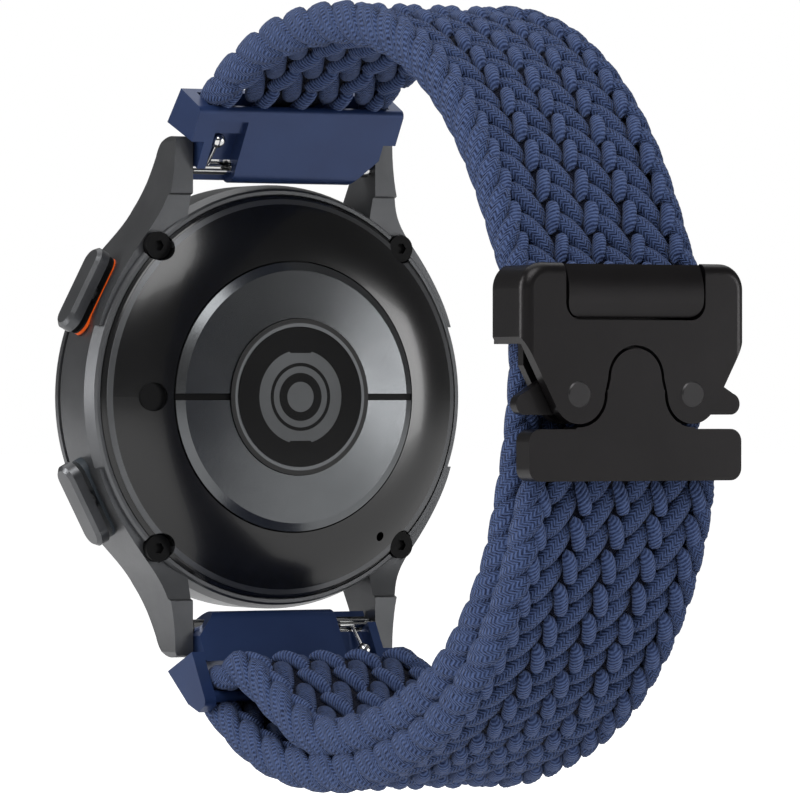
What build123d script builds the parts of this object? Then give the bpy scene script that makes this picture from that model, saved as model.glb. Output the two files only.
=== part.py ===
"""Round fitness watch on a folded woven band with a two-lever slide-in buckle.

Millimetres.  Every shape is drawn from the centre of the case's back rim plane:
+Y runs from the display through the case back to the wrist and on to the buckle,
+Z points to 12 o'clock and +X to the button side.  save() then moves the origin
to the centre of the wrist opening.
"""
from build123d import *
from math import cos, hypot, radians, sin
import os

os.makedirs("parts", exist_ok=True)

# ---- driving dimensions -------------------------------------------------------
WRIST_TO_CASE = 30.0      # wrist centre to the case's back rim plane
CASE_R = 20.4             # case side wall
CASE_RIM_R = 20.0         # back rim
CASE_FRONT = -7.9         # front of the case frame
CAVITY_R = 18.4           # inside of the case wall
COVER_R = 19.4            # back cover
DOME_R = 13.05            # where the dome meets the electrodes
DOME_TOP = 2.75
TRIM_R = 18.75            # thin metal ring in the cover
WINDOW_R = 6.7            # sensor window
WINDOW_TOP = 4.0
ELECTRODE_R = 12.9
ELECTRODE_GAP = 0.64      # dark gap between the two electrodes

LUG_GAP = 20.0            # standard band width between the lugs
LUG_TIP_X = 11.7
BAR_Y, BAR_Z = -0.3, 22.0  # spring bar axis
LUG_END_R = 2.85
LUG_BACK = 0.9            # flat of the lug end that faces the wrist
BAR_R = 0.75
TIP_R = 0.40              # spring bar tips
TIP_HOLE_R = 0.46

BUTTON_ANGLE = 28.0       # of each button above or below 3 o'clock
BUTTON_LENGTH, BUTTON_WIDTH = 8.6, 3.0
BUTTON_TRAVEL = 0.5

LINK_TILT = 31.0          # of the end links, from 12 o'clock towards the wrist
LINK_HALF = 11.15         # half width of the block outside the lugs
NECK_HALF = 9.8           # half width between the lugs
STRAP_HALF = 9.8          # half width of the strap
STRAP_T = 2.8             # thickness of the strap
LAYER_PITCH = 3.25        # between the two layers of the folded strap
FOLD_R = 1.9              # of the strap's centre line round the cross bar
FOLD_T = 2.2              # thickness of the squeezed strap in the fold
CROSS_BAR_T, CROSS_BAR_S = 8.0, 0.9

BUCKLE_FRONT = 64.4       # front plane of the buckle
PLATE_T = 1.1
BUCKLE_HALF = 11.5
BUCKLE_TOP = 11.7
SIDE_BACK = 59.1          # rear edge of the side walls
INNER_HALF = 10.25        # between the side walls
KEEPER_HALF = 10.55       # half width of the keeper loop behind them
KEEPER_BACK = 57.3
RIVET_X, RIVET_Z = 5.85, 0.2
RIVET_R, RIVET_HEAD_R = 0.8, 1.15
PIVOT_HOLE_R = 0.85
LEVER_FRONT, LEVER_T = 63.2, 1.05
TONGUE_BACK = 62.2
BAR_HALF = 10.95          # half width of the tongue's cross bar
BACK_PLATE_BACK, BACK_PLATE_T = 61.15, 0.9


# ---- drawing helpers ----------------------------------------------------------
def save(shape, node):
    export_step(Pos(0, -WRIST_TO_CASE, 0) * shape, "parts/" + node + ".step")


def disc(radius, y0, y1, x=0.0, z=0.0):
    """A round bar along Y."""
    return Pos(x, (y0 + y1) / 2, z) * Rot(90, 0, 0) * Cylinder(radius, y1 - y0)


def ring(r_in, r_out, y0, y1):
    return disc(r_out, y0, y1) - disc(r_in, y0 - 1, y1 + 1)


def rod(radius, x0, x1, y, z):
    """A round bar along X."""
    return Pos((x0 + x1) / 2, y, z) * Rot(0, 90, 0) * Cylinder(radius, x1 - x0)


def box(x0, x1, y0, y1, z0, z1):
    return Pos((x0 + x1) / 2, (y0 + y1) / 2, (z0 + z1) / 2) * Box(x1 - x0, y1 - y0, z1 - z0)


def turned(points):
    """Revolve a closed outline of (radius, y) about the case axis."""
    return revolve(make_face(Polyline(*points, close=True)), Axis.Y)


def side_cut(face_or_points, x0, x1):
    """Extrude an outline of (y, z) along X."""
    face = face_or_points
    if isinstance(face_or_points, list):
        face = make_face(Polyline(*face_or_points, close=True))
    return Pos(x0, 0, 0) * extrude(Plane.YZ * face, amount=x1 - x0, dir=(1, 0, 0))


def front_cut(face_or_points, y0, y1):
    """Extrude an outline of (x, z) along Y."""
    face = face_or_points
    if isinstance(face_or_points, list):
        face = make_face(Polyline(*face_or_points, close=True))
    return Pos(0, y0, 0) * extrude(Plane.XZ * face, amount=y1 - y0, dir=(0, 1, 0))


def flip_x(shape):
    return mirror(shape, about=Plane.YZ)


def flip_z(shape):
    return mirror(shape, about=Plane.XY)


# ---- watch head ---------------------------------------------------------------
def lug():
    """One lug: a flared plan outline cut to the side outline, round about the spring bar."""
    end = BAR_Z + LUG_END_R
    flare = Spline((19.3, 6.8), (17.8, 10.35), (15.3, 14.2), (13.0, 17.6), (12.15, 20.8), (11.9, 24.3))
    plan = make_face([flare, Polyline((11.9, 24.3), (LUG_TIP_X, end), (LUG_GAP / 2, end),
                                      (LUG_GAP / 2, 12.0), (14.0, 6.8), (19.3, 6.8))])
    front = Polyline((-0.5, 4.0), (CASE_FRONT, 4.0), (CASE_FRONT, 13.5), (-6.0, 18.1), (-4.4, 20.5),
                     (BAR_Y - 0.95 * LUG_END_R, 22.9), (BAR_Y, BAR_Z), (LUG_BACK, BAR_Z))
    back = Spline((LUG_BACK, BAR_Z), (0.35, 19.0), (-0.5, 15.0), tangents=((0, -1), (0, -1)))
    side = make_face([front, back, Line((-0.5, 15.0), (-0.5, 4.0))])
    side = side + Pos(BAR_Y, BAR_Z) * Circle(LUG_END_R)
    side = side & make_face(Polyline((-9, 3), (LUG_BACK, 3), (LUG_BACK, 27), (-9, 27), close=True))
    return front_cut(plan, -9, 4) & side_cut(side, 0, 25)


def screw_places():
    return [(sx * 13.3, sz * 14.4) for sx in (1, -1) for sz in (1, -1)]


def button_place(sign):
    """Frame on the case wall with X outwards and Z along the wall."""
    return Rot(0, -sign * BUTTON_ANGLE, 0) * Pos(0, -4.0, 0)


def case_frame():
    body = turned([(18.6, CASE_FRONT), (19.7, CASE_FRONT), (CASE_R, -6.4), (CASE_R, -1.6),
                   (CASE_RIM_R, -0.25), (19.8, 0), (COVER_R + 0.08, 0), (COVER_R + 0.08, -1.0),
                   (CAVITY_R, -1.0), (CAVITY_R, -6.7), (17.6, -6.7), (17.6, -7.2), (18.6, -7.2)])
    hollow = disc(COVER_R + 0.08, -9, 5)
    wing = lug() - hollow
    for part in (wing, flip_x(wing), flip_z(wing), flip_x(flip_z(wing))):
        body = body + part
    for z in (BAR_Z, -BAR_Z):
        body = body - rod(TIP_HOLE_R, -11.6, 11.6, BAR_Y, z)
    for x, z in screw_places():
        body = body - disc(1.45, -0.6, 2, x, z)
    for sign in (1, -1):
        bay = pill(BUTTON_LENGTH + 0.5, BUTTON_WIDTH + 0.5, CASE_R + 0.02, 26)
        body = body - button_place(sign) * (bay + rod(0.86, 17, 23, 0, 0))
    return body


def back_cover():
    outline = Polyline((0, 1.9), (0, 1.0), (12.0, 1.0), (15.6, 0.6), (18.2, -1.0), (COVER_R, -1.0),
                       (COVER_R, 0.0), (19.15, 0.3))
    dome = ThreePointArc((19.15, 0.3), (16.4, 1.85), (DOME_R, DOME_TOP))
    seat = Polyline((DOME_R, DOME_TOP), (DOME_R, 1.9), (0, 1.9))
    cover = revolve(make_face(outline + dome + seat), Axis.Y)
    for x, z in screw_places():
        cover = cover - disc(1.45, -0.6, 3, x, z)
    cover = cover - ring(TRIM_R - 0.25, TRIM_R + 0.25, -0.2, 3)
    return cover - disc(1.36, 0, 3, 15.0, 0) - disc(0.45, 0, 3, -10.1, -13.5)


def trim_ring():
    """Thin metal ring let into the cover near its rim, parted by the screws."""
    trim = turned([(TRIM_R - 0.25, -0.2), (TRIM_R + 0.25, -0.2), (TRIM_R + 0.25, 0.5),
                   (TRIM_R - 0.25, 0.74)])
    for x, z in screw_places():
        trim = trim - disc(1.45, -0.6, 3, x, z)
    return trim


def cover_screws():
    screws = []
    for x, z in screw_places():
        head = disc(1.3, -0.6, 0.15, x, z)
        drive = Pos(x, 0, z) * Rot(-90, 0, 0) * extrude(RegularPolygon(0.55, 6), 1)
        screws.append(head - Pos(0, -0.2, 0) * drive)
    return Compound(children=screws)


def electrode(sign):
    band = turned([(7.55, 2.2), (ELECTRODE_R, 2.2), (ELECTRODE_R, 2.85), (12.1, 3.3), (7.55, 3.72)])
    half = box(-14, 14, 0, 5, ELECTRODE_GAP / 2, 14)
    return band & (half if sign > 0 else flip_z(half))


def electrode_frame():
    """Carrier under the electrodes, with the ribs that part them."""
    ribs = box(-ELECTRODE_R, ELECTRODE_R, 2.2, 5, -ELECTRODE_GAP / 2, ELECTRODE_GAP / 2)
    profile = turned([(7.55, 2.2), (ELECTRODE_R, 2.2), (ELECTRODE_R, 2.7), (12.1, 3.15), (7.55, 3.57)])
    return disc(13.0, 1.9, 2.2) + (ribs & profile)


def pill(length, width, r0, r1):
    """A pill along the case wall, between two distances from the case axis."""
    outline = SlotOverall(length, width, rotation=90)
    return Pos(r0, 0, 0) * extrude(Plane.YZ * outline, amount=r1 - r0, dir=(1, 0, 0))


def button_cap(sign):
    cap = pill(BUTTON_LENGTH, BUTTON_WIDTH, 21.25, 22.5)
    cap = chamfer(cap.faces().sort_by(Axis.X)[-1].edges(), 0.35)
    stem = rod(0.8, 18.7, 21.3, 0, 0)
    foot = rod(1.2, 17.5, 17.8, 0, 0) + rod(0.8, 17.6, 18.8, 0, 0)
    return button_place(sign) * (cap + stem + foot)


def button_seat(sign):
    """Coloured ring between the case wall and the button."""
    seat = pill(BUTTON_LENGTH - 0.4, BUTTON_WIDTH - 0.4, 19.2, 20.72) - rod(0.86, 17, 23, 0, 0)
    return button_place(sign) * seat - case_frame()


def button_springs():
    """A small coil spring round each stem, drawn as its closed sleeve."""
    sleeves = []
    for sign in (1, -1):
        sleeve = rod(1.1, 17.85, 18.2, 0, 0) - rod(0.86, 17, 19, 0, 0)
        sleeves.append(button_place(sign) * sleeve)
    return Compound(children=sleeves)


def notched_ring(top):
    """Photodiode ring with a shallow notch above and below."""
    band = ring(3.25, 4.5, 3.7, top)
    notch = front_cut([(-1.1, 4.2), (1.1, 4.2), (1.7, 5.0), (-1.7, 5.0)], 3, 6)
    return band - notch - flip_z(notch)


def watch_head():
    save(case_frame(), "case_frame")
    save(ring(18.65, 19.95, -8.5, CASE_FRONT), "front_bezel")
    glass = disc(18.55, -8.4, -7.2)
    save(chamfer(glass.edges().sort_by(Axis.Y)[0], 0.3), "display_glass")
    save(disc(17.5, -7.2, -6.4), "display_panel")
    save(box(-12, 9, -6.2, -3.2, -9.5, 9.5), "battery")
    save(disc(15.5, -2.9, -2.1) - box(-20, 20, -4, 0, 12, 20), "main_board")
    save(box(10.2, 13.6, -6.2, -3.4, -4.5, 4.5), "vibration_motor")
    save(box(-4.5, 4.5, -6.2, -3.4, -14.5, -10.0), "speaker")
    save(disc(9.5, -0.3, 0.4), "sensor_board")
    save(ring(6.0, 9.2, 0.45, 0.95), "charging_coil")
    save(ring(17.7, CAVITY_R, -1.5, -1.02), "back_gasket")
    save(back_cover(), "back_cover")
    save(trim_ring(), "cover_trim_ring")
    save(cover_screws(), "cover_screws")
    save(electrode_frame(), "electrode_frame")
    save(electrode(1), "electrode_upper")
    save(electrode(-1), "electrode_lower")
    save(ring(WINDOW_R + 0.02, 7.5, 2.2, 3.9), "sensor_ring")
    window = disc(WINDOW_R, 2.2, WINDOW_TOP)
    window = window - notched_ring(5) - ring(2.3, 2.93, 3.7, 5)
    save(window - disc(1.45, 3.7, 5), "sensor_window")
    save(notched_ring(WINDOW_TOP - 0.02), "photodiode_ring")
    save(ring(2.3, 2.93, 3.7, WINDOW_TOP - 0.02), "led_ring")
    save(disc(1.45, 3.7, WINDOW_TOP - 0.02), "led_lens")
    save(disc(1.35, 0.9, 2.2, 15.0, 0), "pressure_port")
    for sign, name in ((1, "upper"), (-1, "lower")):
        save(button_cap(sign), name + "_button")
        save(button_seat(sign), name + "_button_seat")
    save(button_springs(), "button_springs")


# ---- end links, spring bars and straps ------------------------------------------
def on_link(t, s):
    """(y, z) of a point t along the upper link and s towards the wrist from the bar."""
    a = radians(LINK_TILT)
    return (BAR_Y + t * sin(a) + s * cos(a), BAR_Z + t * cos(a) - s * sin(a))


def neck():
    """The part between the lugs, round about the spring bar."""
    outline = make_face(Polyline(on_link(0, 1.5), on_link(4.5, 1.5), on_link(4.5, -1.5),
                                 on_link(0, -1.5), close=True))
    outline = outline + Pos(BAR_Y, BAR_Z) * Circle(1.5)
    body = side_cut(outline, -NECK_HALF, NECK_HALF)
    worn_corner = Pos(-NECK_HALF, 0, 19.8) * Rot(0, 45, 0) * Box(4.2, 12, 4.2)
    return body - worn_corner


def release_recess():
    """Hollow that shows the spring bar's release knob."""
    pocket = side_cut([on_link(-3, -0.1), on_link(-3, 3), on_link(5.7, 3), on_link(5.7, 0.95),
                       on_link(4.2, 0.95), on_link(4.2, -0.1)], 5.6, 8.9)
    notch = side_cut([on_link(-3, -0.1), on_link(-3, 3), on_link(0.6, 3), on_link(0.6, -0.1)], 5.6, 12)
    return pocket + notch


def bar_holes():
    return rod(BAR_R + 0.01, -NECK_HALF - 1, NECK_HALF + 1, BAR_Y, BAR_Z)


def upper_link():
    block = side_cut([on_link(3.5, 1.5), on_link(7.1, 1.5), on_link(6.8, -3.0), on_link(2.7, -3.8)],
                     -LINK_HALF, LINK_HALF)
    block = fillet(block.edges().filter_by(Axis.X).sort_by(Axis.Y)[-1], 0.6)
    pocket = side_cut([on_link(4.4, 0.7), on_link(8, 0.7), on_link(8, -2.2), on_link(4.4, -2.2)],
                      -STRAP_HALF - 0.05, STRAP_HALF + 0.05)
    return block + neck() - pocket - release_recess() - bar_holes()


def lower_link():
    """Drawn at the upper bar and flipped: a frame with a slot and a cross bar."""
    frame = side_cut([on_link(3.5, 1.5), on_link(9.1, 1.5), on_link(9.1, -0.2), on_link(7.4, -1.7),
                      on_link(2.7, -3.7)], -LINK_HALF, LINK_HALF)
    frame = fillet(frame.edges().filter_by(Axis.X).sort_by(Axis.Y)[-1], 0.6)
    slot = side_cut([on_link(4.4, 4), on_link(12, 4), on_link(12, -5), on_link(4.4, -5)],
                    -STRAP_HALF - 0.12, STRAP_HALF + 0.12)
    y, z = on_link(CROSS_BAR_T, CROSS_BAR_S)
    bar = rod(0.6, -LINK_HALF + 0.5, LINK_HALF - 0.5, y, z)
    body = (frame - slot) + flip_x(neck()) - flip_x(release_recess())
    return flip_z(body + bar - bar_holes())


def spring_bar(x_sign):
    """Tube, fixed tip, plunger with its release knob, and the spring between them."""
    inner = 0.46
    tube = rod(BAR_R, -9.6, 9.6, BAR_Y, BAR_Z) - rod(inner, -9.0, 10, BAR_Y, BAR_Z)
    knob_y, knob_z = on_link(3.35, 0.85)
    slot = side_cut([on_link(0, -0.2), on_link(0, 1), on_link(1, 1), on_link(1, -0.2)], 5.6, 9.7)
    tube = tube - slot
    fixed_tip = rod(TIP_R, -11.3, -9.6, BAR_Y, BAR_Z)
    plunger = rod(TIP_R, 6.6, 11.3, BAR_Y, BAR_Z)
    stem_line = Line((8.0, BAR_Y, BAR_Z), (8.0, knob_y, knob_z))
    stem = sweep(Plane(origin=stem_line @ 0, z_dir=stem_line % 0) * Circle(0.22), path=stem_line)
    plunger = plunger + stem + Pos(8.0, knob_y, knob_z) * Sphere(0.72)
    spring = rod(0.42, 0.5, 5.0, BAR_Y, BAR_Z)
    parts = (tube, fixed_tip, plunger, spring)
    return parts if x_sign > 0 else tuple(flip_x(part) for part in parts)


def strap(places):
    """A flat strap along (y, z, thickness) places, as one closed solid."""
    count = len(places)
    near, far = [], []
    for i, (y, z, thick) in enumerate(places):
        before, after = places[max(i - 1, 0)], places[min(i + 1, count - 1)]
        dy, dz = after[0] - before[0], after[1] - before[1]
        length = hypot(dy, dz)
        ny, nz = -dz / length * thick / 2, dy / length * thick / 2
        near.append((y + ny, z + nz))
        far.append((y - ny, z - nz))
    edge_a, edge_b = Spline(*near), Spline(*far)
    ends = [Line(near[0], far[0]), Line(near[-1], far[-1])]
    return side_cut(make_face([edge_a, edge_b] + ends), -STRAP_HALF, STRAP_HALF)


def upper_strap_places():
    start = [on_link(4.6, -0.75) + (2.7,), on_link(7.0, -0.75) + (2.7,)]
    run = [(7.0, 30.8), (14.0, 33.3), (22.0, 34.4), (30.0, 34.2), (37.5, 32.4), (43.5, 29.4),
           (48.3, 25.6), (52.2, 21.2), (55.2, 16.6), (57.4, 12.6)]
    end = [(59.4, 9.9, 2.4), (59.85, 7.9, 2.0)]
    return start + [(y, z, STRAP_T) for y, z in run] + end


def outer_layer():
    """Centre line of the lower strap's outer layer, below the buckle to the end link."""
    return [(60.4, -10.6), (58.9, -14.4), (56.6, -18.6), (53.3, -22.8), (49.2, -26.6), (44.0, -29.8),
            (37.5, -32.4), (30.0, -34.2), (22.0, -34.6), (14.5, -33.8), (8.4, -32.0)]


def inner_layer():
    """Offset of the outer layer towards the wrist, from the link end to the buckle."""
    line = outer_layer()
    shifted = []
    for i in range(1, len(line) - 2):
        dy, dz = line[i + 1][0] - line[i - 1][0], line[i + 1][1] - line[i - 1][1]
        length = hypot(dy, dz)
        shifted.append((line[i][0] + dz / length * LAYER_PITCH, line[i][1] - dy / length * LAYER_PITCH))
    return shifted[::-1]


def fold_place(turn):
    """(y, z) on the fold's centre line, by its angle round the lower cross bar."""
    t = CROSS_BAR_T + FOLD_R * cos(radians(turn))
    y, z = on_link(t, CROSS_BAR_S - FOLD_R * sin(radians(turn)))
    return (y, -z)


def fold():
    """The part of the strap that turns round the cross bar, as a piece of a tube."""
    y, z = on_link(CROSS_BAR_T, CROSS_BAR_S)
    tube = Pos(y, -z) * (Circle(FOLD_R + FOLD_T / 2) - Circle(FOLD_R - FOLD_T / 2))
    wedge = [(y, -z)]
    for turn in (88, 135, 180, 227):
        far_y, far_z = fold_place(turn)
        wedge.append((y + 3 * (far_y - y), -z + 3 * (far_z + z)))
    return side_cut(tube & make_face(Polyline(*wedge, close=True)), -STRAP_HALF, STRAP_HALF)


def lower_strap():
    """Buckle tab and outer layer, fold round the link's cross bar, inner layer and tail."""
    tab = [(61.7, -3.4, 0.9), (61.65, -6.4, 0.95), (61.1, -8.6, 2.1)]
    outer = [(y, z, STRAP_T) for y, z in outer_layer()]
    outer += [(5.4, -31.0, 2.5), fold_place(90) + (FOLD_T,)]
    leaving = [fold_place(225) + (FOLD_T,), (8.0, -25.7, STRAP_T), (11.6, -26.7, STRAP_T),
               (16.2, -29.0, STRAP_T)]
    inner = [(y, z, STRAP_T) for y, z in inner_layer()]
    tail = [(57.9, -6.6, 2.4), (58.8, -2.6, 2.3), (59.4, 1.6, 2.3), (59.5, 6.4, 2.3)]
    return strap(tab + outer) + fold() + strap(leaving + inner + tail)


def straps_and_links():
    link = upper_link()
    save(link, "upper_link")
    save(strap(upper_strap_places()) - link - anchor_pin_hole(), "upper_strap")
    for sign, name in ((1, "upper"), (-1, "lower")):
        parts = spring_bar(sign)
        if sign < 0:
            parts = tuple(flip_z(part) for part in parts)
        for part, piece in zip(parts, ("bar_tube", "bar_tip", "plunger", "bar_spring")):
            save(part, name + "_" + piece)
    low = lower_link()
    save(low, "lower_link")
    save(lower_strap() - low - tongue_clamp_plate() - tongue_screw_shanks(), "lower_strap")


# ---- buckle -----------------------------------------------------------------------
def lobes(radius):
    return [Pos(x, RIVET_Z) * Circle(radius) for x in (RIVET_X, -RIVET_X)]


def plate_outline(top, recess):
    """Outline shared by the front and back plates, keyhole open at the bottom."""
    half = BUCKLE_HALF
    face = make_face(Polyline((-half, top), (half, top), (half, 5.2), (8.05, -1.15), (RIVET_X, RIVET_Z),
                              (-RIVET_X, RIVET_Z), (-8.05, -1.15), (-half, 5.2), close=True))
    face = fillet([v for v in face.vertices() if v.Y > top - 0.1], 2.3)
    for lobe in lobes(2.6):
        face = face + lobe
    if recess:
        cut = make_face(Polyline((-7.2, 20), (7.2, 20), (7.2, 6.7), (-7.2, 6.7), close=True))
        face = face - fillet([v for v in cut.vertices() if v.Y < 7], 1.5)
    return face


def keyhole(gap):
    """Arched cut between the lobes, or the tongue that fills it when gap is set."""
    width = 2.9 - gap
    arch = Pos(0, 1.6) * Circle(width)
    return arch + make_face(Polyline((-width, 1.6), (width, 1.6), (3.25 - gap, RIVET_Z), (3.25 - gap, -4),
                                     (-3.25 + gap, -4), (-3.25 + gap, RIVET_Z), close=True))


def buckle_front_plate():
    face = plate_outline(BUCKLE_TOP, True) - keyhole(0)
    plate = front_cut(face, BUCKLE_FRONT - PLATE_T, BUCKLE_FRONT)
    for sign in (1, -1):
        x0, x1 = sorted((sign * INNER_HALF, sign * BUCKLE_HALF))
        wall = box(x0, x1, SIDE_BACK, BUCKLE_FRONT - PLATE_T, 4.6, BUCKLE_TOP)
        shape = plate_outline(BUCKLE_TOP, False)
        plate = plate + (wall & front_cut(shape, SIDE_BACK - 1, BUCKLE_FRONT))
    front_edges = [e for e in plate.edges() if e.length > 3 and abs(e.center().Y - BUCKLE_FRONT) < 0.01
                   and abs(abs(e.center().X) - BUCKLE_HALF) < 0.01]
    plate = fillet(front_edges, 1.0)
    for x in (RIVET_X, -RIVET_X):
        plate = plate - disc(RIVET_HEAD_R, 60, 66, x, RIVET_Z)
    return plate


def buckle_back_plate():
    face = plate_outline(10.8, False) & make_face(
        Polyline((-10.15, -5), (10.15, -5), (10.15, 12), (-10.15, 12), close=True))
    plate = front_cut(face, BACK_PLATE_BACK, BACK_PLATE_BACK + BACK_PLATE_T)
    for x in (RIVET_X, -RIVET_X):
        plate = plate - disc(RIVET_R, 60, 66, x, RIVET_Z)
    return plate


def keeper():
    """Loop behind the plates that holds the strap's tail, lapped to the inside of the walls."""
    inside = INNER_HALF - 0.2
    loop = box(-KEEPER_HALF, KEEPER_HALF, KEEPER_BACK, SIDE_BACK, 4.6, 8.4)
    loop = fillet([e for e in loop.edges().filter_by(Axis.Z) if e.center().Y < 58], 0.6)
    loop = loop + box(-INNER_HALF, INNER_HALF, KEEPER_BACK + 0.7, 60.4, 4.6, 8.1)
    return loop - box(-inside, inside, KEEPER_BACK + 0.7, 61, 4, 9)


def clamp_bar():
    """Bar with a rounded face that closes the recess at the top of the buckle."""
    back = BACK_PLATE_BACK + BACK_PLATE_T
    outline = [Polyline((64.05, 6.95), (back, 6.95), (back, 11.4), (63.7, 11.6)),
               ThreePointArc((63.7, 11.6), (64.5, 9.6), (64.05, 6.95))]
    bar = side_cut(make_face(outline), -6.95, 6.95)
    corners = [e for e in bar.edges().filter_by(Axis.Y) if e.center().Z < 7.1]
    return fillet(corners, 1.3)


def anchor_pin_hole():
    return rod(0.62, -12, 12, 59.65, 8.9)


def lever():
    """Lever on the +X rivet: thumb tab outwards, hook towards the tongue."""
    tab = make_face(Polyline((RIVET_X, 2.0), (8.4, 1.75), (10.9, 0.25), (10.4, -1.6), (RIVET_X, -1.6),
                             close=True))
    hook = make_face(Polyline((4.2, 0.8), (3.9, 2.3), (2.72, 2.35), (2.78, 3.05), (5.0, 3.05),
                              (RIVET_X, 1.8), close=True))
    face = Pos(RIVET_X, RIVET_Z) * Circle(1.85) + tab + hook + Pos(10.6, -0.65) * Circle(0.95)
    body = front_cut(face, LEVER_FRONT - LEVER_T, LEVER_FRONT)
    return body - disc(PIVOT_HOLE_R, 60, 66, RIVET_X, RIVET_Z)


def lever_rivets():
    rivets = []
    for x in (RIVET_X, -RIVET_X):
        head = disc(RIVET_HEAD_R, BUCKLE_FRONT - PLATE_T, BUCKLE_FRONT + 0.12, x, RIVET_Z)
        head = chamfer(head.edges().sort_by(Axis.Y)[-1], 0.12)
        rivets.append(head + disc(RIVET_R, BACK_PLATE_BACK, BUCKLE_FRONT - 1, x, RIVET_Z))
    return Compound(children=rivets)


def leaf_spring():
    strip = box(-9, 9, 62.4, 63.0, 4.9, 5.2)
    return strip + box(7.2, 7.5, 62.4, 63.0, 2.7, 5.0) + box(-7.5, -7.2, 62.4, 63.0, 2.7, 5.0)


def buckle_tongue():
    head = keyhole(0.28)
    flare = make_face(Polyline((-6.2, -2.85), (-2.9, 0.6), (2.9, 0.6), (6.2, -2.85), close=True))
    bar = make_face(Polyline((-BAR_HALF, -7.4), (BAR_HALF, -7.4), (BAR_HALF, -2.85), (-BAR_HALF, -2.85),
                             close=True))
    bar = fillet(bar.vertices(), 1.1)
    face = (head & make_face(Polyline((-4, -3), (4, -3), (4, 6), (-4, 6), close=True))) + flare + bar
    for lobe in lobes(2.9):
        face = face - lobe
    body = front_cut(face, TONGUE_BACK, BUCKLE_FRONT)
    rear = TONGUE_BACK, LEVER_FRONT + 0.02
    body = body + box(-2.6, 2.6, rear[0], rear[1], 3.2, 4.4)
    for sign in (1, -1):
        x0, x1 = sorted((sign * 1.9, sign * 4))
        body = body - box(x0, x1, rear[0] - 1, rear[1], 1.5, 3.2)
    return body - tongue_screw_shanks()


def tongue_clamp_plate():
    return box(-9, 9, 60.5, 61.2, -6.6, -3.2) - tongue_screw_shanks()


def tongue_screw_shanks():
    return disc(0.6, 60.4, 63.3, 7, -4.9) + disc(0.6, 60.4, 63.3, -7, -4.9)


def tongue_screws():
    return Compound(children=[disc(0.6, 60.4, 63.3, x, -4.9) + disc(1.0, 60.25, 60.5, x, -4.9)
                              for x in (7, -7)])


def buckle():
    save(buckle_front_plate(), "buckle_front_plate")
    save(buckle_back_plate(), "buckle_back_plate")
    save(keeper(), "buckle_keeper")
    save(clamp_bar(), "clamp_bar")
    save(rod(0.6, -INNER_HALF, INNER_HALF, 59.65, 8.9), "anchor_pin")
    save(lever(), "button_side_lever")
    save(flip_x(lever()), "far_side_lever")
    save(lever_rivets(), "lever_rivets")
    save(leaf_spring(), "lever_spring")
    save(buckle_tongue(), "buckle_tongue")
    save(tongue_clamp_plate(), "tongue_clamp_plate")
    save(tongue_screws(), "tongue_screws")


watch_head()
straps_and_links()
buckle()
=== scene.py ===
"""Wrist fitness tracker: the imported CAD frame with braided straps, finishes, light and camera."""
import math
import bpy
import numpy as np
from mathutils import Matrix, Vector


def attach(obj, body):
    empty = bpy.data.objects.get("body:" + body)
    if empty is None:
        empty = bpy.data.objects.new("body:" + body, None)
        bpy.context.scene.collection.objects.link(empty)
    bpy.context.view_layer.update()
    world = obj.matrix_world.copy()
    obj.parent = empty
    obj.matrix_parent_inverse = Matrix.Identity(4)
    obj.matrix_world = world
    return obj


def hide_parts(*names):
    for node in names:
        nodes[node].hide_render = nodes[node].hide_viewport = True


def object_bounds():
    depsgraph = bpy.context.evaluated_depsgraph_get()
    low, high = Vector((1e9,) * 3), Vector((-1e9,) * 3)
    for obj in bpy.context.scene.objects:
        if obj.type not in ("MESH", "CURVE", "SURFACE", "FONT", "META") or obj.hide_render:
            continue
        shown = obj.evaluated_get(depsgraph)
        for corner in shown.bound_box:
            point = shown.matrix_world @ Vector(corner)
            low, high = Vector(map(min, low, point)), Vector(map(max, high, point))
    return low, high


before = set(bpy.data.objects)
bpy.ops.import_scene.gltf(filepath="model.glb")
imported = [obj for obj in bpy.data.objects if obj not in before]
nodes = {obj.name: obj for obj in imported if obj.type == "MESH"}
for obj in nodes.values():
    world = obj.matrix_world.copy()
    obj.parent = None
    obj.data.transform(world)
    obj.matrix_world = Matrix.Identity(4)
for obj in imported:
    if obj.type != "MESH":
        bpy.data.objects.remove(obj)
cad_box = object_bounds()
MM = 0.001

# ---- camera: behind the case and to the far side, level, with a long lens ------
AZIMUTH = math.radians(150)
CAMERA_DISTANCE = 0.600
LENS, SENSOR = 293, 36      # mm
AIM = Vector((0.00303, -0.00175, -0.0003))
BACK = Vector((math.sin(AZIMUTH), -math.cos(AZIMUTH), 0))
camera_data = bpy.data.cameras.new("camera")
camera_data.lens = LENS
camera_data.sensor_width = SENSOR
camera_data.clip_start = 0.01
camera = bpy.data.objects.new("camera", camera_data)
camera.location = AIM + BACK * CAMERA_DISTANCE
camera.rotation_euler = (-BACK).to_track_quat("-Z", "Y").to_euler()
bpy.context.scene.collection.objects.link(camera)
bpy.context.scene.camera = camera
bpy.context.scene.view_settings.view_transform = "Standard"


# ---- material helpers ------------------------------------------------------------
def srgb(r, g, b):
    """0-255 display colour to linear."""
    def one(v):
        v /= 255
        return v / 12.92 if v <= 0.04045 else ((v + 0.055) / 1.055) ** 2.4
    return (one(r), one(g), one(b), 1.0)


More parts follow.
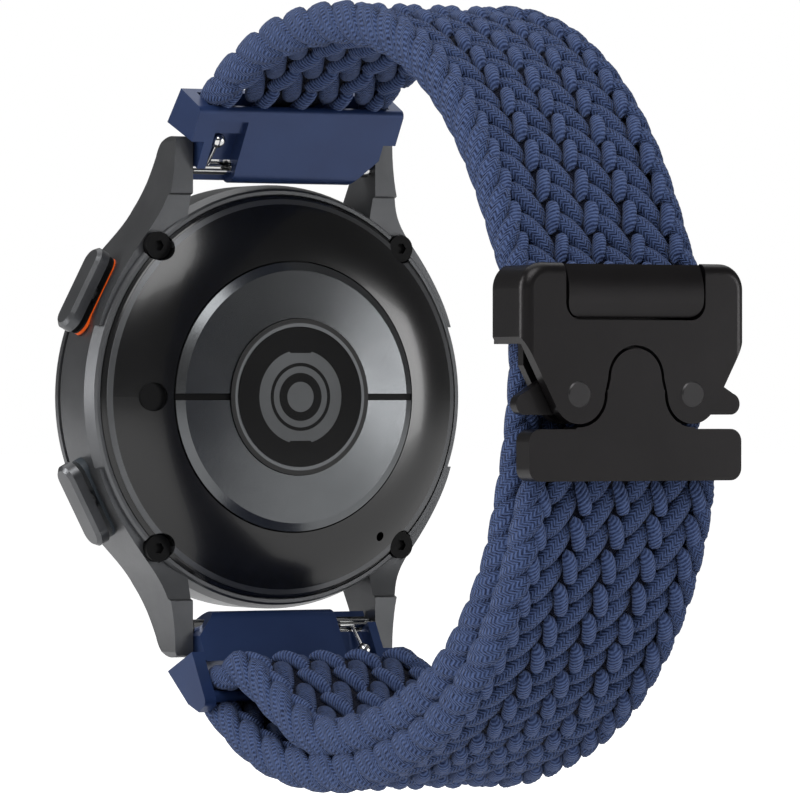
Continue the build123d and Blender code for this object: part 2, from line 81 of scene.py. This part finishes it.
class Nodes:
    """A short way to write a node tree."""

    def __init__(self, name):
        self.material = bpy.data.materials.new(name)
        self.material.use_nodes = True
        self.tree = self.material.node_tree
        self.shader = self.tree.nodes["Principled BSDF"]

    def add(self, kind, **values):
        node = self.tree.nodes.new("ShaderNode" + kind)
        for key, value in values.items():
            if hasattr(node, key):
                setattr(node, key, value)
            else:
                node.inputs[key].default_value = value
        return node

    def link(self, out, socket):
        self.tree.links.new(out, socket)

    def math(self, operation, *values):
        node = self.add("Math", operation=operation)
        for socket, value in zip(node.inputs, values):
            if isinstance(value, (int, float)):
                socket.default_value = value
            else:
                self.link(value, socket)
        return node.outputs[0]

    def set(self, **values):
        for key, value in values.items():
            self.shader.inputs[key.replace("_", " ")].default_value = value

    def ramp(self, factor, stops):
        node = self.add("ValToRGB")
        while len(node.color_ramp.elements) < len(stops):
            node.color_ramp.elements.new(0.5)
        for element, (place, colour) in zip(node.color_ramp.elements, stops):
            element.position = place
            element.color = colour
        self.link(factor, node.inputs["Fac"])
        return node.outputs["Color"]

    def bump(self, height, distance, strength):
        node = self.add("Bump", Strength=strength, Distance=distance)
        self.link(height, node.inputs["Height"])
        self.link(node.outputs["Normal"], self.shader.inputs["Normal"])

    def noise(self, scale, detail=3.0, roughness=0.55):
        place = self.add("TexCoord")
        node = self.add("TexNoise")
        node.inputs["Scale"].default_value = scale
        node.inputs["Detail"].default_value = detail
        node.inputs["Roughness"].default_value = roughness
        self.link(place.outputs["Object"], node.inputs["Vector"])
        return node.outputs["Fac"]


def coated_metal(name, dark, light, metallic, roughness, grain=5000.0, depth=0.00001, coat=0.0):
    """Painted, anodised or blasted metal with a fine grain and slight cloudiness."""
    m = Nodes(name)
    cloud = m.noise(180.0, 4.0)
    m.link(m.ramp(cloud, [(0.3, dark), (0.7, light)]), m.shader.inputs["Base Color"])
    m.set(Metallic=metallic, Coat_Weight=coat, Coat_Roughness=0.15)
    fine = m.noise(grain, 2.0)
    m.link(m.math("MULTIPLY_ADD", fine, 0.12, roughness - 0.06), m.shader.inputs["Roughness"])
    m.bump(fine, depth, 0.5)
    return m.material


def glossy(name, colour, roughness, coat):
    """Polished glass or lacquer with a trace of haze and fine wipe marks."""
    m = Nodes(name)
    haze = m.noise(120.0, 5.0)
    darker = tuple(v * 0.7 for v in colour[:3]) + (1.0,)
    m.link(m.ramp(haze, [(0.35, darker), (0.7, colour)]), m.shader.inputs["Base Color"])
    m.link(m.math("MULTIPLY_ADD", haze, 0.05, roughness), m.shader.inputs["Roughness"])
    m.set(Coat_Weight=coat, Coat_Roughness=0.03)
    return m.material


def plastic(name, colour, roughness, shine=0.3):
    """Moulded plastic or rubber with spark-eroded grain."""
    m = Nodes(name)
    fine = m.noise(3500.0, 3.0)
    darker = tuple(v * 0.8 for v in colour[:3]) + (1.0,)
    m.link(m.ramp(fine, [(0.3, darker), (0.7, colour)]), m.shader.inputs["Base Color"])
    m.set(Roughness=roughness, Specular_IOR_Level=shine)
    m.bump(fine, 0.00001, 0.4)
    return m.material


LIP_R, GAP_RUN = 6.7, 0.8      # where the sensor bezel's shading starts and how far it runs, mm
BUTTON_ANGLE = math.radians(28)
SEAT_FOOT, SEAT_HEIGHT = 19.22, 1.5      # of a button seat, along the button's axis, mm
STITCH_PITCH = 0.36      # of the knit on a cord, mm


def lip_and_gap_shade(name):
    """Sensor bezel: a bright metal inner lip and an outer band painted black as shade, told apart by radius.
    """
    m = Nodes(name)
    place = m.add("TexCoord")
    flat = m.add("VectorMath", operation="MULTIPLY")
    flat.inputs[1].default_value = (1, 0, 1)
    m.link(place.outputs["Object"], flat.inputs[0])
    radius = m.add("VectorMath", operation="LENGTH")
    m.link(flat.outputs["Vector"], radius.inputs[0])
    width = m.math("MULTIPLY_ADD", radius.outputs["Value"], 1 / (GAP_RUN * MM), -LIP_R / GAP_RUN)
    # The outer band's black colour and zero metallic are painted shade.
    lip, gap_shade = srgb(112, 114, 116), srgb(7, 7, 8)
    m.link(m.ramp(width, [(0.40, lip), (0.46, gap_shade)]), m.shader.inputs["Base Color"])
    m.link(m.ramp(width, [(0.40, (0.9,) * 4), (0.46, (0, 0, 0, 1))]), m.shader.inputs["Metallic"])
    m.set(Roughness=0.3)
    m.bump(m.noise(5000.0), 0.000004, 0.4)
    return m.material


def seal_ring(name, outwards):
    """Button seat with a thin orange seal between a dark lower part and a black lip; the lower part is the
    seal's orange darkened as painted shade towards the case.
    """
    m = Nodes(name)
    place = m.add("TexCoord")
    along = m.add("VectorMath", operation="DOT_PRODUCT")
    along.inputs[1].default_value = outwards
    m.link(place.outputs["Object"], along.inputs[0])
    height = m.math("MULTIPLY_ADD", along.outputs["Value"], 1 / (SEAT_HEIGHT * MM), -SEAT_FOOT / SEAT_HEIGHT)
    # The first colour is the seal's orange darkened as painted shade towards the case.
    foot_shade, seal, lip = srgb(58, 18, 8), srgb(226, 88, 18), srgb(8, 8, 9)
    colour = m.ramp(height, [(0.66, foot_shade), (0.70, seal), (0.86, seal), (0.90, lip)])
    m.link(colour, m.shader.inputs["Base Color"])
    m.set(Roughness=0.4, Specular_IOR_Level=0.2)
    m.bump(m.noise(3500.0), 0.00001, 0.4)
    return m.material


def knitted(name, dark, light, leg=0.45, slope=1.0):
    """Knitted cord: zigzag stitches with legs that long, laid by the cord's own UV in mm; its colour has
    painted shade in the stitch furrows and painted highlight on the ridges, over random fibre tone.
    """
    m = Nodes(name)
    uv = m.add("UVMap", uv_map="cord")
    split = m.add("SeparateXYZ")
    m.link(uv.outputs["UV"], split.inputs[0])
    wander = m.math("MULTIPLY", m.noise(900.0, 3.0), 0.35)
    lean = m.math("MULTIPLY", m.math("PINGPONG", m.math("ADD", split.outputs["X"], leg / 2), leg), slope)
    run = m.math("ADD", m.math("ADD", split.outputs["Y"], lean), wander)
    turn = m.math("MULTIPLY", run, 2 * math.pi / STITCH_PITCH)
    stitch = m.math("MULTIPLY_ADD", m.math("SINE", turn), 0.5, 0.5)
    fuzz = m.noise(2600.0, 4.0, 0.7)
    height = m.math("ADD", stitch, m.math("MULTIPLY", fuzz, 0.6))
    # This colour factor paints highlight on the stitch ridges and shade in the furrows; the noise adds
    # random fibre tone.
    shade = m.math("MULTIPLY_ADD", stitch, 0.45, fuzz)
    m.link(m.ramp(shade, [(0.35, dark), (0.92, light)]), m.shader.inputs["Base Color"])
    m.set(Roughness=0.82, Sheen_Weight=0.06, Sheen_Roughness=0.4, Specular_IOR_Level=0.12)
    m.bump(height, 0.00010, 0.9)
    return m.material


# ---- braided straps --------------------------------------------------------------
# Sizes across and along a strap are in mm, and heights are in half thicknesses of the strap.
LINE_STEP, LINE_PARTS = 0.25, 16      # of the strap's centre line: spacing, and parts of each span
AROUND, RINGS = 12, 11      # corners round a cord and rings along it
HALF_THICK = 1.6
BEAD, CORD, CORE = 0, 1, 2      # material slots of a braid
PITCH, SLACK_PITCH = 3.15, 4.6      # one stitch row, near the buckle and near an end link
SLACK_REACH = 44.0      # how far from its end link the rows are slack
COLUMNS, HALF_COLUMN = (-8.0, -4.0, 0.0, 4.0, 8.0), 2.0
BEAD_RUN, BEAD_WIDE, BEAD_THICK = 3.2, 0.64, 0.44      # length and half sizes
BEAD_CROSS, BEAD_BASE, BEAD_RISE = -1.1, 0.42, 0.32      # sideways run, height at its ends and arch
CORD_RUN, CORD_WIDE, CORD_THICK = 4.5, 0.96, 0.46
CORD_CROSS, CORD_BASE, CORD_RISE = 2.9, 0.04, 0.38
EDGE_RUN, EDGE_WIDE, EDGE_THICK = 1.5, 0.98, 0.66
EDGE_AT, EDGE_REACH, EDGE_RISE, EDGE_TURN = 8.50, 0.72, 0.60, 2.1      # how it wraps the strap's edge
CORE_WIDE, CORE_THICK = 9.0, 0.44
SPREAD, WIDTH_SPREAD = 0.07, 0.3      # unevenness of hand-laid cords
SEED = 7


def smooth_line(points):
    """Catmull-Rom line through (y, z, half thickness) points, as arrays along its length in mm."""
    p = np.array(points, float)
    p = np.vstack([2 * p[0] - p[1], p, 2 * p[-1] - p[-2]])
    rows = []
    for i in range(1, len(p) - 2):
        for t in np.linspace(0, 1, LINE_PARTS, endpoint=False):
            rows.append(0.5 * ((2 * p[i]) + (p[i + 1] - p[i - 1]) * t
                               + (2 * p[i - 1] - 5 * p[i] + 4 * p[i + 1] - p[i + 2]) * t ** 2
                               + (3 * p[i] - p[i - 1] - 3 * p[i + 1] + p[i + 2]) * t ** 3))
    rows.append(p[-2])
    rows = np.array(rows)
    length = np.concatenate([[0], np.cumsum(np.hypot(*np.diff(rows[:, :2], axis=0).T))])
    even = np.arange(0, length[-1], LINE_STEP)
    return even, np.array([np.interp(even, length, rows[:, k]) for k in range(3)]).T


class Ribbon:
    """Maps (across, along, out) in mm on a strap to the row frame in metres."""

    def __init__(self, points):
        self.along, rows = smooth_line(points)
        self.centre, self.half = rows[:, :2], rows[:, 2]
        tangent = np.gradient(self.centre, axis=0)
        tangent /= np.linalg.norm(tangent, axis=1)[:, None]
        self.normal = np.stack([-tangent[:, 1], tangent[:, 0]], axis=1)
        self.length = self.along[-1]

    def place(self, local):
        v = np.clip(local[..., 1], 0, self.length)
        half = np.interp(v, self.along, self.half)
        out = local[..., 2] * half
        y = np.interp(v, self.along, self.centre[:, 0]) + out * np.interp(v, self.along, self.normal[:, 0])
        z = np.interp(v, self.along, self.centre[:, 1]) + out * np.interp(v, self.along, self.normal[:, 1])
        return np.stack([local[..., 0], y, z], axis=-1) * MM



def ellipse_run(wide, tall):
    """Distance round an ellipse at each of its corners, nought at the top, from the bottom up."""
    angles = np.linspace(-0.5 * np.pi, 1.5 * np.pi, AROUND + 1)
    corners = np.stack([wide * np.cos(angles), tall * np.sin(angles)], axis=1)
    run = np.concatenate([[0], np.cumsum(np.linalg.norm(np.diff(corners, axis=0), axis=1))])
    return run - run[-1] / 2


class Weave:
    """Collects cord segments and makes one mesh of them."""

    def __init__(self, ribbon):
        self.ribbon = ribbon
        self.points, self.faces, self.uvs, self.kinds = [], [], [], []

    def cord(self, path, up, wide, thick, kind):
        """One cord: a path of (across, along, out), its outward directions and its half sizes."""
        path, up = np.array(path), np.array(up)
        forward = np.gradient(path, axis=0)
        forward /= np.maximum(np.linalg.norm(forward, axis=1), 1e-9)[:, None]
        side = np.cross(forward, up)
        side /= np.linalg.norm(side, axis=1)[:, None]
        s = np.linspace(-1, 1, len(path))
        swell = np.sqrt(np.clip(1 - np.abs(s) ** 4.2, 0.03, 1))
        angles = np.linspace(-1.5 * np.pi, 0.5 * np.pi, AROUND, endpoint=False) + np.pi
        c, d = np.cos(angles), np.sin(angles)
        local = (path[:, None, :] + side[:, None, :] * (wide * swell)[:, None, None] * c[None, :, None]
                 + up[:, None, :] * (thick * swell)[:, None, None] * d[None, :, None])
        base = sum(len(p) for p in self.points)
        self.points.append(self.ribbon.place(local).reshape(-1, 3))
        girth = ellipse_run(wide, thick * HALF_THICK)
        run = np.concatenate([[0], np.cumsum(np.linalg.norm(np.diff(path, axis=0), axis=1))])
        for i in range(len(path) - 1):
            for j in range(AROUND):
                k = (j + 1) % AROUND
                self.faces.append((base + i * AROUND + j, base + i * AROUND + k,
                                   base + (i + 1) * AROUND + k, base + (i + 1) * AROUND + j))
                self.uvs += [(girth[j], run[i]), (girth[j + 1], run[i]),
                             (girth[j + 1], run[i + 1]), (girth[j], run[i + 1])]
                self.kinds.append(kind)
        for i in (0, len(path) - 1):
            ends = [base + i * AROUND + j for j in range(AROUND)]
            self.faces.append(tuple(ends if i == 0 else ends[::-1]))
            self.uvs += [(0, run[i])] * AROUND
            self.kinds.append(kind)

    def mesh(self, name, materials):
        data = bpy.data.meshes.new(name)
        data.from_pydata(np.vstack(self.points).tolist(), [], self.faces)
        layer = data.uv_layers.new(name="cord")
        layer.data.foreach_set("uv", np.array(self.uvs, dtype=np.float32).ravel())
        for material in materials:
            data.materials.append(material)
        data.polygons.foreach_set("material_index", np.array(self.kinds, dtype=np.int32))
        data.polygons.foreach_set("use_smooth", np.ones(len(self.faces), dtype=bool))
        data.update()
        piece = bpy.data.objects.new(name, data)
        bpy.context.scene.collection.objects.link(piece)
        return piece


def row_places(start, stop, link_at):
    """Places of the stitch rows along a strap, further apart near its end link."""
    even = np.linspace(start, stop, 400)
    tight = np.clip((np.abs(even - link_at) - 0.5 * SLACK_REACH) / (0.5 * SLACK_REACH), 0, 1)
    pitch = SLACK_PITCH + (PITCH - SLACK_PITCH) * tight * tight * (3 - 2 * tight)
    count = np.concatenate([[0], np.cumsum(np.diff(even) / pitch[1:])])
    rows = int(count[-1])
    return rows, count * rows / count[-1], even


def braid(name, points, start, stop, link_at, lean):
    """Flat braid: short upright cords over diagonal cords on both faces, rope edges, and a core coloured
    dark as painted shade inside the braid.
    """
    ribbon = Ribbon(points)
    weave = Weave(ribbon)
    stop = ribbon.length - stop
    rows, count, even = row_places(start, stop, link_at)
    s = np.linspace(0, 1, RINGS)
    rng = np.random.default_rng(SEED)

    def lay(across, run, out, up, wide, thick, kind):
        along = np.interp(run, count, even)
        path = np.stack([across, along, out], axis=1)
        weave.cord(path, up, wide, thick, kind)

    for row in range(rows):
        for face in (1, -1):
            up = np.tile([0, 0, face], (RINGS, 1))
            for u in COLUMNS:
                j = rng.normal(0, SPREAD, 3)
                lay(u + j[0] + lean * face * BEAD_CROSS * (0.5 - s),
                    row + 0.5 + (j[1] + BEAD_RUN * (s - 0.5)) / PITCH,
                    face * (BEAD_BASE + BEAD_RISE * np.sin(np.pi * s) ** 0.5), up,
                    BEAD_WIDE + WIDTH_SPREAD * j[2], BEAD_THICK, BEAD)
            for u in COLUMNS[:-1]:
                j = rng.normal(0, SPREAD, 3)
                lay(u + HALF_COLUMN + j[0] + lean * face * CORD_CROSS * (0.5 - s),
                    row + 1 + (j[1] + CORD_RUN * (s - 0.5)) / PITCH,
                    face * (CORD_BASE + CORD_RISE * np.sin(np.pi * s) ** 0.8), up,
                    CORD_WIDE, CORD_THICK, CORD)
        for edge in (1, -1):
            turn = np.linspace(-EDGE_TURN, EDGE_TURN, RINGS + 4)
            up = np.stack([edge * np.cos(turn), 0 * turn, np.sin(turn)], axis=1)
            lay(edge * (EDGE_AT + EDGE_REACH * np.cos(turn)), row + 0.5 - EDGE_RUN * turn / PITCH,
                EDGE_RISE * np.sin(turn), up, EDGE_WIDE, EDGE_THICK, CORD)
    core = np.linspace(0, rows, rows * 3)
    core_up = np.tile([0, 0, 1.0], (len(core), 1))
    lay(0 * core, core, 0 * core, core_up, CORE_WIDE, CORE_THICK, CORE)
    return weave.mesh(name, [knit_bead, knit_cord, knit_core_shade])


# Each knit's dark stop is painted shade in the stitch furrows and its light stop painted highlight on the
# ridges.
knit_bead = knitted("knit_bead", srgb(18, 28, 60), srgb(72, 88, 126), leg=8.0, slope=0.45)
knit_cord = knitted("knit_cord", srgb(4, 9, 34), srgb(66, 82, 120))
# The core's dark blue is painted shade inside the braid.
knit_core_shade = knitted("knit_core_shade", srgb(8, 11, 25), srgb(14, 19, 38))

# The strap lines repeat the CAD route, (y, z, half thickness) in mm from the wrist's centre.
UPPER_LINE = [(-28.57, 26.33, 1.35), (-27.34, 28.38, 1.45), (-23.0, 30.8, 1.6), (-16.0, 33.3, 1.65),
              (-8.0, 34.4, 1.65), (0.0, 34.2, 1.65), (7.5, 32.4, 1.65), (13.5, 29.4, 1.65),
              (18.3, 25.6, 1.65), (22.2, 21.2, 1.65), (25.2, 16.6, 1.6), (27.4, 12.6, 1.5),
              (29.4, 9.9, 1.2), (29.85, 7.9, 1.0)]
OUTER_LINE = [(31.7, -3.4, 0.45), (31.65, -6.4, 0.6), (31.1, -8.6, 1.3), (30.4, -10.6, 1.55),
              (28.9, -14.4, 1.6), (26.6, -18.6, 1.6), (23.3, -22.8, 1.6), (19.2, -26.6, 1.6),
              (14.0, -29.8, 1.6), (7.5, -32.4, 1.6), (0.0, -34.2, 1.6), (-8.0, -34.6, 1.6),
              (-15.5, -33.8, 1.6), (-21.6, -32.0, 1.5)]


def fold_and_tail():
    """The strap's fold round the link's cross bar and the inner layer up to the tail."""
    layer_pitch, tilt = 3.25, math.radians(31)
    bar_y, bar_z = -30.3, 22.0      # of the spring bar, from which the link's own frame is measured
    bar_t, bar_s, fold_r = 8.0, 0.9, 1.9
    rows = []
    for turn in (90, 135, 180, 225):
        t = bar_t + fold_r * math.cos(math.radians(turn))
        s = bar_s - fold_r * math.sin(math.radians(turn))
        rows.append((bar_y + t * math.sin(tilt) + s * math.cos(tilt),
                     -(bar_z + t * math.cos(tilt) - s * math.sin(tilt)), 1.15))
    rows += [(-22.0, -25.7, 1.5), (-18.4, -26.9, 1.6), (-13.8, -29.1, 1.6)]
    line = OUTER_LINE[3:]
    inner = []
    for i in range(1, len(line) - 2):
        dy, dz = line[i + 1][0] - line[i - 1][0], line[i + 1][1] - line[i - 1][1]
        size = math.hypot(dy, dz)
        inner.append((line[i][0] + dz / size * layer_pitch, line[i][1] - dy / size * layer_pitch, 1.6))
    rows += inner[::-1]
    return rows + [(27.9, -6.6, 1.35), (28.8, -2.6, 1.25), (29.4, 1.6, 1.2), (29.5, 6.4, 1.15)]


upper_braid = braid("upper_braid", UPPER_LINE, 1.0, 0.5, 0, 1)
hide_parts("upper_strap")
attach(upper_braid, "upper_band")
lower_line = OUTER_LINE + fold_and_tail()
fold_at = Ribbon(OUTER_LINE).length + 10
lower_braid = braid("lower_braid", lower_line, 0.6, 0.2, fold_at, -1)
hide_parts("lower_strap")
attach(lower_braid, "lower_band")

# ---- finishes of the CAD parts ---------------------------------------------------
case_metal = coated_metal("case_metal", srgb(84, 85, 87), srgb(96, 97, 99), 0.8, 0.34)
buckle_metal = coated_metal("buckle_metal", srgb(21, 19, 20), srgb(26, 24, 25), 0.6, 0.34)
rivet_metal = coated_metal("rivet_metal", srgb(46, 45, 46), srgb(49, 48, 49), 0.5, 0.3,
                           grain=9000.0, depth=0.000002)
link_paint = coated_metal("link_paint", srgb(32, 49, 87), srgb(37, 56, 96), 0.45, 0.34, coat=0.1)
electrode_metal = coated_metal("electrode_metal", srgb(92, 94, 96), srgb(102, 104, 106), 0.9, 0.24)
chrome = coated_metal("chrome", srgb(205, 205, 205), srgb(225, 225, 225), 1.0, 0.14, depth=0.000003)
steel = coated_metal("steel", srgb(170, 170, 172), srgb(190, 190, 192), 1.0, 0.3)
copper = coated_metal("copper", srgb(190, 110, 60), srgb(210, 130, 75), 1.0, 0.35)
foil = coated_metal("foil", srgb(150, 150, 152), srgb(175, 175, 178), 0.8, 0.4)
sensor_bezel = lip_and_gap_shade("sensor_bezel")
cover_gloss = glossy("cover_gloss", srgb(16, 16, 17), 0.2, 0.12)
window_glass = glossy("window_glass", srgb(14, 14, 15), 0.10, 0.2)
display_glass = glossy("display_glass", srgb(10, 10, 12), 0.02, 1.0)
optics = glossy("optics", srgb(78, 80, 82), 0.3, 0.1)
black_plastic = plastic("black_plastic", srgb(7, 7, 8), 0.5, 0.12)
orange_seal = seal_ring("orange_seal", (math.cos(BUTTON_ANGLE), 0, math.sin(BUTTON_ANGLE)))
grey_plastic = plastic("grey_plastic", srgb(52, 58, 64), 0.45)
rubber = plastic("rubber", srgb(24, 24, 24), 0.8)
board = plastic("board", srgb(18, 70, 42), 0.4)

FINISHES = {
    case_metal: ["case_frame", "front_bezel", "upper_button", "lower_button", "cover_trim_ring"],
    cover_gloss: ["back_cover"],
    electrode_metal: ["electrode_upper", "electrode_lower"],
    sensor_bezel: ["sensor_ring"],
    window_glass: ["sensor_window"],
    optics: ["photodiode_ring", "led_ring", "led_lens"],
    display_glass: ["display_glass", "display_panel"],
    black_plastic: ["electrode_frame", "pressure_port", "cover_screws", "speaker"],
    orange_seal: ["upper_button_seat"],
    grey_plastic: ["lower_button_seat"],
    rubber: ["back_gasket"],
    board: ["main_board", "sensor_board"],
    foil: ["battery"],
    copper: ["charging_coil"],
    steel: ["vibration_motor", "button_springs", "upper_bar_spring", "lower_bar_spring", "lever_spring"],
    link_paint: ["upper_link", "lower_link"],
    chrome: ["upper_bar_tube", "upper_bar_tip", "upper_plunger", "lower_bar_tube", "lower_bar_tip",
             "lower_plunger"],
    buckle_metal: ["buckle_front_plate", "buckle_back_plate", "buckle_keeper", "clamp_bar",
                   "buckle_tongue", "tongue_clamp_plate", "button_side_lever", "far_side_lever"],
    rivet_metal: ["lever_rivets", "anchor_pin", "tongue_screws"],
}
# Widths of the rounded edges, mm.
BEVELS = {"buckle_front_plate": 0.26, "clamp_bar": 0.2, "buckle_tongue": 0.26, "button_side_lever": 0.2,
          "far_side_lever": 0.2, "upper_link": 0.35, "lower_link": 0.35, "case_frame": 0.22,
          "upper_button": 0.3, "lower_button": 0.3, "cover_trim_ring": 0.08, "buckle_keeper": 0.2,
          "lever_rivets": 0.1, "electrode_upper": 0.05, "electrode_lower": 0.05, "sensor_ring": 0.08,
          "sensor_window": 0.1, "front_bezel": 0.12, "display_glass": 0.1}
SHARP = math.radians(32)      # an edge that turns by more than this is rounded


def soften(node, width):
    """Small rounded edges on a CAD part, with smooth shading elsewhere."""
    edge = node.modifiers.new("edge", "BEVEL")
    edge.width = width * MM
    edge.segments = 3
    edge.limit_method = "ANGLE"
    edge.angle_limit = SHARP
    edge.harden_normals = True
    edge.use_clamp_overlap = True


for material, names in FINISHES.items():
    for name in names:
        node = nodes[name]
        if not node.material_slots:
            node.data.materials.append(material)
        for place in node.material_slots:
            place.material = material
for name, width in BEVELS.items():
    soften(nodes[name], width)

# ---- floor, world and lights -----------------------------------------------------
# The floor lies below the reach of the lower band half when it swings open.
FLOOR_R, FLOOR_DROP, FLOOR_GLOW = 9.0, 0.045, 0.75
floor_z = cad_box[0][2] - FLOOR_DROP
floor_data = bpy.data.meshes.new("floor")
rim = [(FLOOR_R * math.cos(a), FLOOR_R * math.sin(a), floor_z)
       for a in np.linspace(0, 2 * math.pi, 48, endpoint=False)]
floor_data.from_pydata(rim, [], [tuple(range(len(rim)))])
floor_paint = Nodes("floor_paint")
floor_paint.set(Base_Color=(0.85, 0.85, 0.85, 1), Roughness=1.0, Specular_IOR_Level=0.0,
                Emission_Color=(1, 1, 1, 1))
glow = floor_paint.math("MULTIPLY", floor_paint.add("LightPath").outputs["Is Camera Ray"], FLOOR_GLOW)
floor_paint.link(glow, floor_paint.shader.inputs["Emission Strength"])
floor_data.materials.append(floor_paint.material)
floor = bpy.data.objects.new("floor", floor_data)
bpy.context.scene.collection.objects.link(floor)

# The world is white to the camera, dim in reflections and soft on everything else.
WORLD_SEEN, WORLD_GLOSS, WORLD_FILL = 1.0, 0.12, 0.36
world = bpy.data.worlds.new("studio")
bpy.context.scene.world = world
world.use_nodes = True
tree = world.node_tree
background = tree.nodes["Background"]
background.inputs["Color"].default_value = (1, 1, 1, 1)
rays = tree.nodes.new("ShaderNodeLightPath")


def chosen(ray, if_not, if_so):
    """A number that is one value for that kind of ray and another for the rest."""
    node = tree.nodes.new("ShaderNodeMix")
    tree.links.new(rays.outputs[ray], node.inputs["Factor"])
    for place, value in (("A", if_not), ("B", if_so)):
        if isinstance(value, (int, float)):
            node.inputs[place].default_value = value
        else:
            tree.links.new(value, node.inputs[place])
    return node.outputs["Result"]


level = chosen("Is Camera Ray", chosen("Is Glossy Ray", WORLD_FILL, WORLD_GLOSS), WORLD_SEEN)
tree.links.new(level, background.inputs["Strength"])


def softbox(name, azimuth, elevation, distance, wide, tall, power):
    """A rectangular area light aimed at the object from that direction."""
    a, e = math.radians(azimuth), math.radians(elevation)
    direction = Vector((math.sin(a) * math.cos(e), -math.cos(a) * math.cos(e), math.sin(e)))
    data = bpy.data.lights.new(name, "AREA")
    data.shape = "RECTANGLE"
    data.size, data.size_y = wide, tall
    data.energy = power
    lamp = bpy.data.objects.new(name, data)
    lamp.location = direction * distance
    lamp.rotation_euler = (-direction).to_track_quat("-Z", "Y").to_euler()
    bpy.context.scene.collection.objects.link(lamp)


# Name, azimuth and elevation in degrees, distance, width and height in m, and power in W.
softbox("key", 155, 52, 1.1, 0.8, 0.8, 9)
softbox("side", 231, -5, 0.9, 0.30, 0.6, 4)
softbox("left", 72, 5, 0.9, 0.25, 1.0, 8)
softbox("top", 330, 65, 1.0, 1.0, 1.0, 4)
